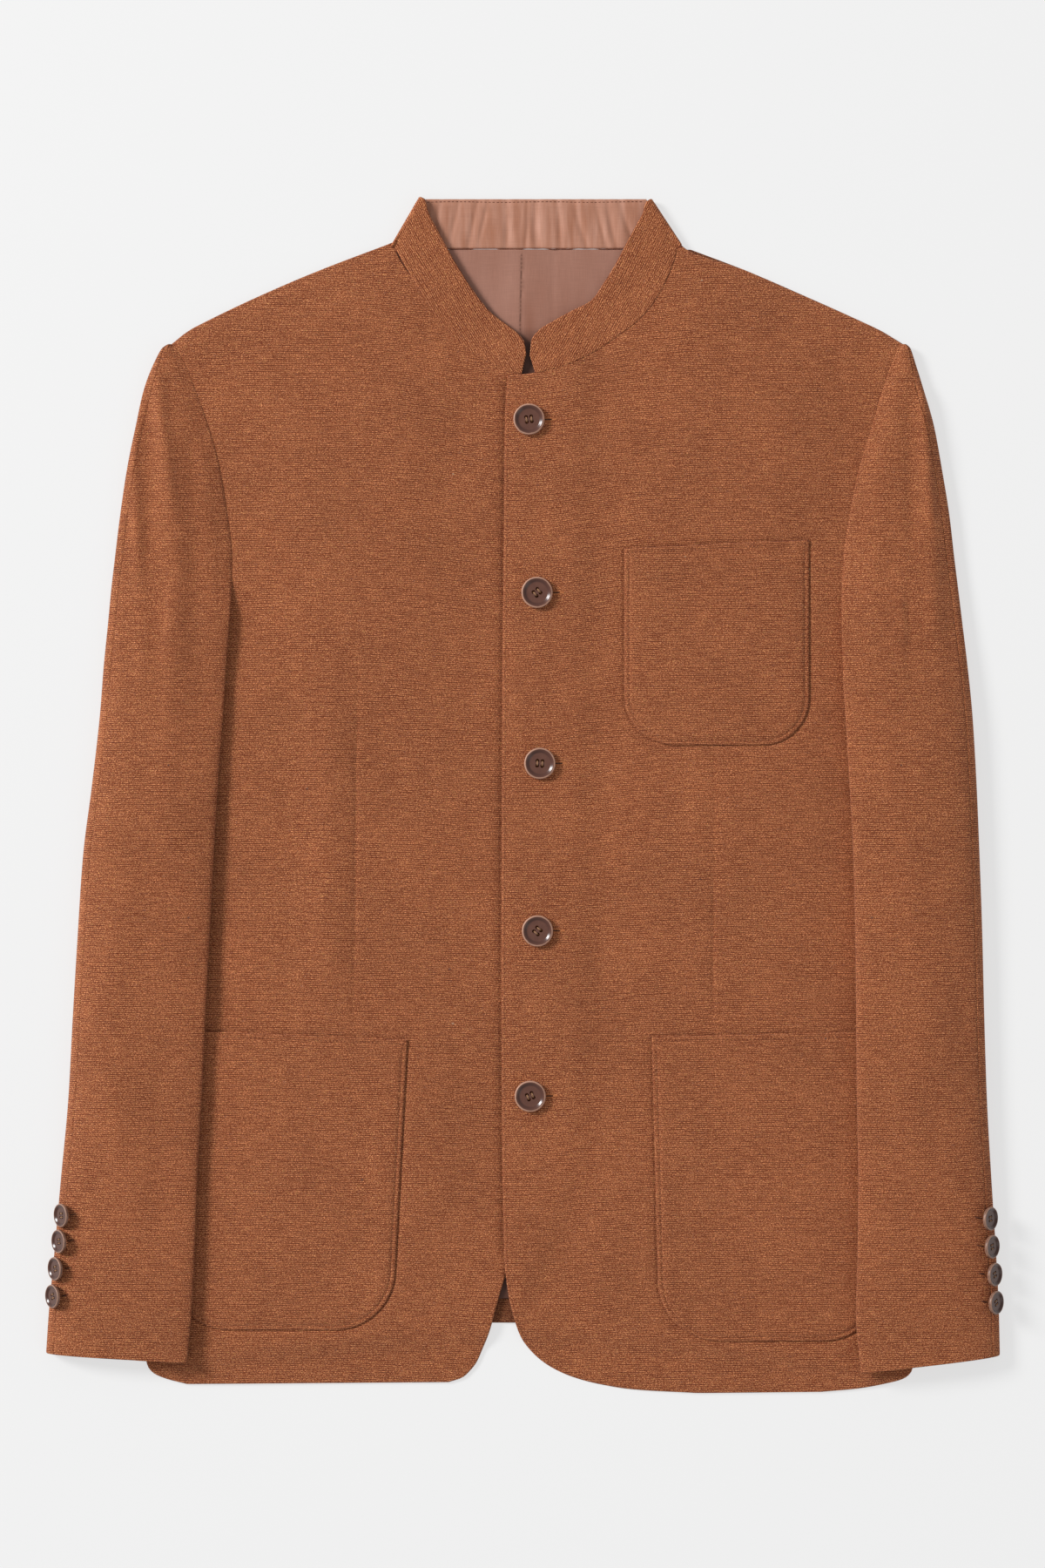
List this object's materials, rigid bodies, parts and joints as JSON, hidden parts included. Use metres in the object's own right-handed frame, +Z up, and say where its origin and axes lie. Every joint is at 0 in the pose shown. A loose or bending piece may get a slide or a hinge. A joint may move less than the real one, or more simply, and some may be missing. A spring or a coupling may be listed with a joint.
{
  "type": "coat",
  "caption": "Band-collared jacket in ribbed brown cloth, buttoned down the front and laid flat, with patch pockets and tube sleeves.",
  "frame": {"origin": "middle of the bounding box in plan, on the surface that the jacket lies on", "axes": "+Z up from the surface, +Y from the hem to the collar, +X from the wearer's right side to the wearer's left side"},
  "size_m": [0.6088, 0.7624, 0.0205],
  "materials": {
    "cloth": "matt slub rib weave",
    "lining": "silky plain lining",
    "collar_lining": "silky wrinkled lining",
    "button": "glossy"
  },
  "bodies": {
    "root": {"back": "cloth", "front_right": "cloth", "front_left": "cloth", "collar": "cloth", "sleeve_top_right": "cloth", "sleeve_under_right": "cloth", "sleeve_top_left": "cloth", "sleeve_under_left": "cloth", "pocket_chest": "cloth", "pocket_hip_right": "cloth", "pocket_hip_left": "cloth", "back_lining": "lining", "collar_lining": "collar_lining", "button_front_1": "button", "button_front_2": "button", "button_front_3": "button", "button_front_4": "button", "button_front_5": "button", "button_cuff_right_1": "button", "button_cuff_right_2": "button", "button_cuff_right_3": "button", "button_cuff_right_4": "button", "button_cuff_left_1": "button", "button_cuff_left_2": "button", "button_cuff_left_3": "button", "button_cuff_left_4": "button"}
  },
  "joints": []
}
